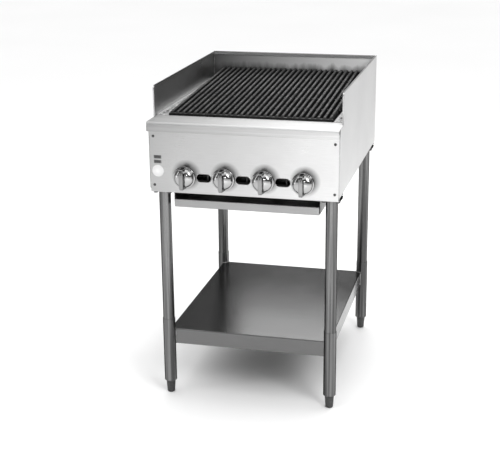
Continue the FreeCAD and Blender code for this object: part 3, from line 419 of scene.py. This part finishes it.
def firebox_steel(name, tone):
    """The liners: heat-dulled steel whose strips beside the grates are mottled in the middle."""
    finish = Finish(name, tone, 0.2, 0.42)
    split = finish.node("ShaderNodeSeparateXYZ", {0: finish.place})
    side = finish.math("ABSOLUTE", split.outputs["X"])
    low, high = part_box("right_firebox_liner")
    middle, half = (low.x + high.x) / 2, (high.x - low.x) / 2
    off = finish.math("ABSOLUTE", finish.math("SUBTRACT", side, middle))
    within = finish.span(off, half * 0.72, half * 0.58)
    on_top = finish.span(split.outputs["Z"], high.z - 12 * MM, high.z - 9 * MM)
    mottle = finish.noise(120.0, detail=3.0, rough=0.65, distortion=0.8)
    cloud = finish.noise(12.0, detail=5.0)
    edge = finish.edges()
    dirt = finish.blend(finish.span(mottle, 0.42, 0.58), finish.shade(0.12), finish.shade(1.7))
    base_and_painted_light = finish.blend(finish.span(cloud, 0.3, 0.8), finish.shade(1.4), finish.shade(1.1))
    soiled = finish.math("MULTIPLY", within, on_top)
    burnt = finish.blend(on_top, finish.shade(0.35), base_and_painted_light)
    finish.drive("Base Color", finish.blend(edge, finish.blend(soiled, burnt, dirt), finish.shade(1.5)))
    finish.drive("Roughness", finish.span(mottle, 0.2, 0.8, 0.32, 0.62))
    finish.bump(mottle, 0.00025)
    return finish.material


def cast_iron(name, tone, painted_light_and_rubbing):
    """Rough cast iron, seasoned dark, rubbed brighter along its edges and on its upper faces: partly
    rubbing, partly painted highlight.
    """
    finish = Finish(name, tone, 0.75, 0.6)
    grit = finish.noise(520.0, detail=5.0, rough=0.7)
    lumps = finish.noise(90.0, detail=3.0)
    crust = finish.noise(60.0, detail=5.0, rough=0.7, distortion=0.5)
    edge = finish.edges(0.002)
    normal = finish.node("ShaderNodeNewGeometry").outputs["Normal"]
    up = finish.span(finish.node("ShaderNodeSeparateXYZ", {0: normal}).outputs["Z"], 0.80, 0.99)
    # Upper faces and edges brighter: partly rubbing, partly painted highlight
    rubbed = finish.math("MULTIPLY", up, finish.span(crust, 0.42, 0.60, 0.1, 1.0))
    either = finish.math("MAXIMUM", rubbed, finish.math("MULTIPLY", edge, finish.span(crust, 0.4, 0.6)))
    body = finish.blend(finish.span(crust, 0.3, 0.7), finish.shade(0.6), finish.shade(1.4))
    finish.drive("Base Color", finish.blend(either, body, (painted_light_and_rubbing, painted_light_and_rubbing, painted_light_and_rubbing)))
    shiny = finish.math("MULTIPLY", either, 0.18)
    finish.drive("Roughness", finish.math("SUBTRACT", finish.span(grit, 0.2, 0.8, 0.5, 0.8), shiny))
    finish.bump(lumps, 0.0004)
    finish.bump(grit, 0.0002)
    return finish.material


def polished(name, tone, roughness=0.07, rim=1.0):
    """Chrome or machined metal with faint wipe marks; a low rim darkens its outline."""
    finish = Finish(name, tone, 1.0, roughness)
    finish.rim_tint(rim)
    wipe = finish.noise(35.0, (1, 1, 0.3), detail=4.0)
    haze = finish.noise(8.0, detail=4.0)
    base = finish.blend(finish.span(haze, 0.3, 0.8), finish.shade(1.0), finish.shade(0.92))
    finish.drive("Base Color", finish.blend(finish.edges(0.0006), base, finish.shade(1.1)))
    finish.drive("Roughness", finish.span(wipe, 0.35, 0.75, roughness, roughness + 0.10))
    finish.bump(wipe, 0.00002)
    return finish.material


def painted(name, tone, roughness, chipped):
    """Lacquer or moulded plastic: even, faintly orange-peeled, rubbed through at its edges."""
    finish = Finish(name, tone, 0.0, roughness)
    peel = finish.noise(240.0, detail=2.0)
    cloud = finish.noise(18.0, detail=4.0)
    edge = finish.math("MULTIPLY", finish.edges(), finish.span(cloud, 0.4, 0.6, 0.2, 1.0))
    base = finish.blend(finish.span(cloud, 0.3, 0.7), finish.shade(0.92), finish.shade(1.06))
    finish.drive("Base Color", finish.blend(edge, base, (chipped,) * 3))
    finish.drive("Roughness", finish.span(cloud, 0.2, 0.8, roughness - 0.06, roughness + 0.1))
    finish.bump(peel, 0.00005)
    return finish.material


def weld(name):
    """Weld metal: bright and grainy, with a darker heat tint."""
    finish = Finish(name, 0.42, 1.0, 0.38)
    tint = finish.noise(60.0, detail=4.0)
    grain = finish.noise(700.0, detail=3.0)
    tinted = finish.blend(finish.span(tint, 0.35, 0.65), finish.shade(0.55), finish.shade(1.3))
    finish.drive("Base Color", tinted)
    finish.drive("Roughness", finish.span(tint, 0.2, 0.8, 0.28, 0.5))
    finish.bump(grain, 0.00008)
    return finish.material


def pale_floor():
    """The studio floor: an even pale surface with the faintest mottle."""
    finish = Finish("studio_floor", 0.92, 0.0, 0.7)
    cloud = finish.noise(0.8, detail=3.0)
    finish.drive("Base Color", finish.blend(cloud, finish.shade(0.99), finish.shade(1.01)))
    finish.drive("Roughness", finish.span(cloud, 0.3, 0.7, 0.65, 0.75))
    return finish.material


MATERIALS = {
    "sheet_x": brushed("stainless_brushed_across", 0.60, "x"),
    "sheet_y": brushed("stainless_brushed_deep", 0.58, "y"),
    # The front panel and front rail get brighter towards the right: painted light
    "sheet_front": brushed("stainless_front_panel", 0.50, "x", painted_light_and_rubbing=(0.90, 1.35), painted_shadows=painted_knob_shadows()),
    "sheet_rail_painted_light": brushed(
        "stainless_front_rail", 0.56, "x", 0.42, metallic=0.45, streaks=(160.0, 0.16), painted_light_and_rubbing=(0.66, 1.30)
    ),
    "sheet_dulled": heat_dulled("stainless_heat_dulled", "back_splash"),
    "shelf_steel": brushed("shelf_steel", 0.16, "x", roughness=0.15, smear=0.06, relief=0.4),
    "leg_steel": brushed("leg_steel", 0.23, "z", roughness=0.24, relief=0.5, streaks=(95.0, 0.9), rim=0.0),
    "tray_steel": brushed("tray_steel", 0.34, "x", roughness=0.30),
    "firebox_steel": firebox_steel("firebox_steel", 0.34),
    "cast_iron": cast_iron("cast_iron", 0.045, 0.10),
    "grate_iron": cast_iron("grate_iron", 0.020, 0.08),
    "black_pipe": painted("black_pipe", 0.03, 0.38, 0.2),
    "brass": polished("brass", (0.66, 0.50, 0.24), 0.22),
    "aluminium_tube": polished("aluminium_tube", 0.12, 0.45),
    "zinc": dull_steel("zinc_plate", 0.08, 0.36),
    "chrome": polished("chrome", 0.62, 0.05, rim=0.0),
    "smoked_chrome": polished("smoked_chrome", 0.42, 0.05, rim=0.2),
    "worn_chrome": polished("worn_chrome", 0.26, 0.12, rim=0.4),
    "label": painted("label_white", 0.82, 0.45, 0.6),
    "plate": painted("label_plate", 0.05, 0.5, 0.2),
    "weld": weld("weld_metal"),
    "duller": dull_steel("aluminised_steel", 0.30, 0.45),
}
OWN_FINISH = {"back_splash": "sheet_dulled", "front_panel": "sheet_front", "front_rail": "sheet_rail_painted_light"}
SHEET_GRAIN = {"back_panel": "x"}
LINERS = ("left_firebox_liner", "right_firebox_liner")


def dress_cad():
    """Gives every CAD node the finish of its slot, or its own where it has one."""
    for part in frame["record"]["subparts"]:
        name, slot = part["node"], part["material_slot"]
        if name in OWN_FINISH:
            material = MATERIALS[OWN_FINISH[name]]
        elif slot == "brushed_stainless":
            material = MATERIALS["sheet_" + SHEET_GRAIN.get(name, "y")]
        elif slot == "firebox_steel" and name not in LINERS:
            material = MATERIALS["duller"]
        else:
            material = MATERIALS[slot]
        for holder in NODES[name].material_slots:
            holder.material = material


# ---------------------------------------------------------------------------------------------
# Mesh helpers
# ---------------------------------------------------------------------------------------------
def finish_piece(name, bm, material, body, levels=0):
    """Turns a bmesh into a smooth piece that rides on a body."""
    bmesh.ops.recalc_face_normals(bm, faces=bm.faces)
    mesh = bpy.data.meshes.new(name)
    bm.to_mesh(mesh)
    bm.free()
    piece = bpy.data.objects.new(name, mesh)
    bpy.context.scene.collection.objects.link(piece)
    piece.data.materials.append(MATERIALS[material])
    for face in mesh.polygons:
        face.use_smooth = True
    if levels:
        smooth = piece.modifiers.new("smooth", "SUBSURF")
        smooth.levels = smooth.render_levels = levels
    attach(piece, body)
    return piece


def frame_along(way):
    """Two directions square to one, for building round it."""
    helper = X if abs(way.dot(X)) < 0.9 else Y
    across = way.cross(helper).normalized()
    return across, way.cross(across).normalized()


def ring_round(bm, middle, way, radius, sides):
    """New vertices evenly round an axis."""
    across, up = frame_along(way)
    turns = [2 * math.pi * k / sides for k in range(sides)]
    return [bm.verts.new(middle + (across * math.cos(a) + up * math.sin(a)) * radius) for a in turns]


def lathe(bm, centre, way, profile, segments):
    """Turns a profile of (radius, distance along way) about an axis; a radius of 0 closes an end."""
    rings = []
    for radius, along in profile:
        middle = centre + way * along
        if radius == 0:
            rings.append([bm.verts.new(middle)])
        else:
            rings.append(ring_round(bm, middle, way, radius, segments))
    for ring, after in zip(rings, rings[1:]):
        for i in range(segments):
            j = (i + 1) % segments
            if len(ring) == 1:
                bm.faces.new((ring[0], after[i], after[j]))
            elif len(after) == 1:
                bm.faces.new((ring[i], after[0], ring[j]))
            else:
                bm.faces.new((ring[i], after[i], after[j], ring[j]))


def tube_along(bm, path, radius, closed=False, sides=10, ripple=0.0):
    """A tube along points, which may close on itself; a ripple swells every few rings, as in a weld."""
    rings = []
    count = len(path)
    for i, point in enumerate(path):
        after = path[(i + 1) % count] if closed or i + 1 < count else point
        before = path[i - 1] if closed or i else point
        size = radius * (1 + ripple * math.cos(2 * math.pi * i / RIPPLE_RINGS))
        rings.append(ring_round(bm, point, (after - before).normalized(), size, sides))
    next_rings = rings[1:] + rings[:1] if closed else rings[1:]
    for ring, following in zip(rings, next_rings):
        for k in range(sides):
            m = (k + 1) % sides
            bm.faces.new((ring[k], ring[m], following[m], following[k]))
    if not closed:
        bm.faces.new(rings[0])
        bm.faces.new(rings[-1])


def shaped_block(bm, cuts, place):
    """A block of quads whose points, from -1 to 1 along three axes, are put in place by a function."""
    solid = bmesh.new()
    bmesh.ops.create_cube(solid, size=2.0)
    if cuts:
        bmesh.ops.subdivide_edges(solid, edges=solid.edges[:], cuts=cuts, use_grid_fill=True)
    for vert in solid.verts:
        vert.co = place(*vert.co)
    mesh = bpy.data.meshes.new("block")
    solid.to_mesh(mesh)
    solid.free()
    bm.from_mesh(mesh)
    bpy.data.meshes.remove(mesh)


def islands(node):
    """The boxes of a CAD node's separate solids."""
    mesh = NODES[node].data
    bm = bmesh.new()
    bm.from_mesh(mesh)
    bmesh.ops.remove_doubles(bm, verts=bm.verts, dist=1e-6)
    left, boxes = set(bm.verts), []
    while left:
        stack, found = [left.pop()], []
        while stack:
            vert = stack.pop()
            found.append(vert.co.copy())
            for edge in vert.link_edges:
                other = edge.other_vert(vert)
                if other in left:
                    left.remove(other)
                    stack.append(other)
        low = Vector(min(p[i] for p in found) for i in range(3))
        high = Vector(max(p[i] for p in found) for i in range(3))
        boxes.append((low, high))
    bm.free()
    return sorted(boxes, key=lambda b: tuple(round(c, 4) for c in b[0]))


# ---------------------------------------------------------------------------------------------
# Pieces
# ---------------------------------------------------------------------------------------------
def make_knob(index):
    """A knob: a full dome on a thin skirt, a waisted grip bar across it, and a pointer line."""
    low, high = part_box(f"knob_{index}")
    centre = Vector(((low.x + high.x) / 2, high.y, (low.z + high.z) / 2))
    radius, reach = (high.z - low.z) / 2, high.y - low.y
    body = f"knob_{index}"
    outline = [(0, 0), (radius * 0.97, 0), (radius, 0.6 * MM), (radius, 2.6 * MM), (radius * 0.98, 3.4 * MM)]
    outline += [(radius * 0.93, 3.7 * MM), (radius * 0.90, SKIRT_TOP)]
    turns = [math.pi / 2 * i / DOME_RINGS for i in range(DOME_RINGS)]
    dome = DOME_TOP - SKIRT_TOP
    outline += [(radius * 0.89 * math.cos(a) ** 0.8, SKIRT_TOP + dome * math.sin(a)) for a in turns]
    bm = bmesh.new()
    lathe(bm, centre, -Y, outline + [(0, DOME_TOP)], segments=64)
    skirt = finish_piece(f"knob_skirt_{index}", bm, "smoked_chrome", body, levels=1)
    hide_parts(f"knob_{index}")

    def place(u, v, w):
        forward = (1 - v) / 2
        thick = (5.6 + 3.6 * (1 - forward) ** 2 + 1.4 * forward**4) * MM
        length = radius * (0.97 - 0.06 * forward**2)
        ends = 1 - 0.07 * forward * w**4
        depth = GRIP_FOOT + (reach - GRIP_FOOT) * forward * ends
        return centre + Vector((u * thick * (1 - 0.12 * w**4), -depth, w * length))

    bm = bmesh.new()
    shaped_block(bm, 6, place)
    finish_piece(f"knob_grip_{index}", bm, "worn_chrome", body, levels=2)
    bm = bmesh.new()
    top = centre + Vector((0, -reach + POINTER_PROUD, radius * POINTER_HEIGHT))
    half_x, half_y, half_z = POINTER_HALF
    shaped_block(bm, 2, lambda u, v, w: top + Vector((u * half_x, v * half_y, w * half_z)) * MM)
    finish_piece(f"knob_mark_{index}", bm, "plate", body, levels=1)


def screw_mesh():
    """A pan head with a cross recess, looking along +Z, as a mesh."""
    bm = bmesh.new()
    lathe(bm, Vector(), Z, [(r * MM, a * MM) for r, a in SCREW_OUTLINE], segments=32)
    bmesh.ops.recalc_face_normals(bm, faces=bm.faces)
    head = bpy.data.meshes.new("screw_head")
    bm.to_mesh(head)
    bm.free()
    cutter_mesh = bpy.data.meshes.new("cross")
    bm = bmesh.new()
    for half_x, half_y in ((RECESS_LONG, RECESS_WIDE), (RECESS_WIDE, RECESS_LONG)):

        def place(u, v, w):
            return Vector((u * half_x, v * half_y, SCREW_HEIGHT + w * RECESS_DEEP)) * MM

        shaped_block(bm, 0, place)
    bm.to_mesh(cutter_mesh)
    bm.free()
    solid = bpy.data.objects.new("screw_head", head)
    cutter = bpy.data.objects.new("cross", cutter_mesh)
    for piece in (solid, cutter):
        bpy.context.scene.collection.objects.link(piece)
    cut = solid.modifiers.new("cross", "BOOLEAN")
    cut.operation, cut.object, cut.solver, cut.use_self = "DIFFERENCE", cutter, "EXACT", True
    graph = bpy.context.evaluated_depsgraph_get()
    result = bpy.data.meshes.new_from_object(solid.evaluated_get(graph))
    for piece in (solid, cutter):
        bpy.data.objects.remove(piece)
    return result


def screw_way(low, high):
    """The side of the grill that a screw's head looks out of, and the head's seat on it."""
    middle = (low + high) / 2
    if low.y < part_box("front_panel")[0].y:
        return -Y, Vector((middle.x, low.y + SCREW_HEIGHT * MM, middle.z))
    if high.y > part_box("back_panel")[1].y:
        return Y, Vector((middle.x, high.y - SCREW_HEIGHT * MM, middle.z))
    return Z, Vector((middle.x, middle.y, high.z - SCREW_HEIGHT * MM))


def make_screws():
    """Cross-recessed screws where the CAD has plain ones, as one piece."""
    template = screw_mesh()
    bm = bmesh.new()
    for i, (low, high) in enumerate(islands("panel_screws")):
        way, seat = screw_way(low, high)
        spin = Matrix.Rotation(SCREW_SPIN * i, 4, "Z")
        place = Matrix.Translation(seat) @ way.to_track_quat("Z", "Y").to_matrix().to_4x4() @ spin
        part = template.copy()
        part.transform(place)
        bm.from_mesh(part)
        bpy.data.meshes.remove(part)
    screws = finish_piece("cross_head_screws", bm, "zinc", "body")
    screws.data.shade_flat()
    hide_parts("panel_screws")


def make_labels():
    """A blank white disc and two blank dark plates on the panel's left end."""
    for i, (low, high) in enumerate(sorted(islands("panel_labels"), key=lambda b: b[0].z)):
        middle, half = (low + high) / 2, (high - low) / 2
        bm = bmesh.new()
        if i == 0:
            seat = Vector((middle.x, high.y, middle.z))
            thick = high.y - low.y
            radius = half.x
            outline = [(0, 0), (radius, 0), (radius, thick * 0.6), (radius * 0.985, thick), (0, thick)]
            lathe(bm, seat, -Y, outline, segments=64)
            piece = finish_piece("blank_round_label", bm, "label", "body")
            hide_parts("panel_labels")
        else:
            shaped_block(bm, 3, lambda u, v, w: middle + Vector((u * half.x, v * half.y, w * half.z)))
            bmesh.ops.bevel(bm, geom=bm.edges[:], offset=PLATE_BEVEL, segments=1)
            finish_piece(f"blank_plate_{i}", bm, "plate", "body")


def make_slot_lips():
    """A fine rolled lip round each lighting slot in the front panel."""
    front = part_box("front_panel")[0].y
    knobs = [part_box(f"knob_{i}") for i in KNOB_NUMBERS]
    centres = [(low + high) / 2 for low, high in knobs]
    for i, (left, right) in enumerate(zip(centres, centres[1:]), 1):
        middle = (left + right) / 2
        path = []
        for side in (1, -1):
            for k in range(SLOT_STEPS + 1):
                turn = math.pi * (k / SLOT_STEPS - 0.5)
                out, rise = SLOT_STRAIGHT + SLOT_RADIUS * math.cos(turn), SLOT_RADIUS * math.sin(turn)
                path.append(Vector((middle.x + side * out, front - LIP_SINK, middle.z + side * rise)))
        bm = bmesh.new()
        tube_along(bm, path, LIP_RADIUS, closed=True, sides=8)
        finish_piece(f"slot_lip_{i}", bm, "sheet_x", "body")


def arc(centre, radius, start, end, count):
    """Points round part of a level circle."""
    turns = [math.radians(start + (end - start) * i / (count - 1)) for i in range(count)]
    return [centre + Vector((math.cos(a), math.sin(a), 0)) * radius for a in turns]


def upright(foot, bottom, top, count):
    """Points up a vertical line above a place on the floor."""
    return [foot + Z * (bottom + (top - bottom) * k / (count - 1)) for k in range(count)]


def make_shelf_welds():
    """Rippled beads where the shelf's corners and lips meet the legs."""
    low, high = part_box("undershelf")
    sleeves = islands("leg_sleeves")
    for i, (near, far) in enumerate(sleeves, 1):
        centre = (near + far) / 2
        radius = (far.x - near.x) / 2
        inward_x = -1 if centre.x > 0 else 1
        inward_y = -1 if centre.y > 0 else 1
        start = {(1, 1): 0, (-1, 1): 90, (-1, -1): 180, (1, -1): 270}[(inward_x, inward_y)]
        bm = bmesh.new()
        top = Vector((centre.x, centre.y, high.z))
        bead = arc(top, radius + CORNER_OFF, start + 4, start + 86, 46)
        tube_along(bm, bead, CORNER_BEAD, ripple=WELD_RIPPLE)
        beside = radius + LIP_OFF
        feet = (
            Vector((centre.x + inward_x * beside, low.y if inward_y > 0 else high.y, 0)),
            Vector((low.x if inward_x > 0 else high.x, centre.y + inward_y * beside, 0)),
        )
        for foot in feet:
            path = upright(foot, low.z + 2 * MM, high.z - 4 * MM, 30)
            tube_along(bm, path, LIP_BEAD, ripple=WELD_RIPPLE)
        finish_piece(f"shelf_weld_{i}", bm, "weld", "body")


def make_corner_seams():
    """Fine ground seams where the side guards meet the back splash."""
    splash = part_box("back_splash")
    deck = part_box("front_rail")[1].z
    for name, x in (("left", splash[0].x), ("right", splash[1].x)):
        side = -1 if x < 0 else 1
        foot = Vector((x + side * SEAM_OFF, splash[0].y, 0))
        path = upright(foot, deck + 3 * MM, splash[1].z - 6 * MM, 60)
        bm = bmesh.new()
        tube_along(bm, path, SEAM_BEAD, sides=8, ripple=SEAM_RIPPLE)
        finish_piece(f"guard_seam_{name}", bm, "weld", "body")


def make_floor():
    """A wide level floor under the feet."""
    bm = bmesh.new()
    corners = [(-1, -1), (1, -1), (1, 1), (-1, 1)]
    bm.faces.new([bm.verts.new((a * FLOOR_HALF, b * FLOOR_HALF, 0)) for a, b in corners])
    mesh = bpy.data.meshes.new("floor")
    bm.to_mesh(mesh)
    bm.free()
    floor = bpy.data.objects.new("floor", mesh)
    bpy.context.scene.collection.objects.link(floor)
    mesh.materials.append(pale_floor())


def main():
    """Dresses the CAD, adds the pieces, and sets up the stage."""
    make_camera()
    make_lights()
    make_world()
    make_floor()
    dress_cad()
    for i in KNOB_NUMBERS:
        make_knob(i)
    make_screws()
    make_labels()
    make_slot_lips()
    make_shelf_welds()
    make_corner_seams()


main()
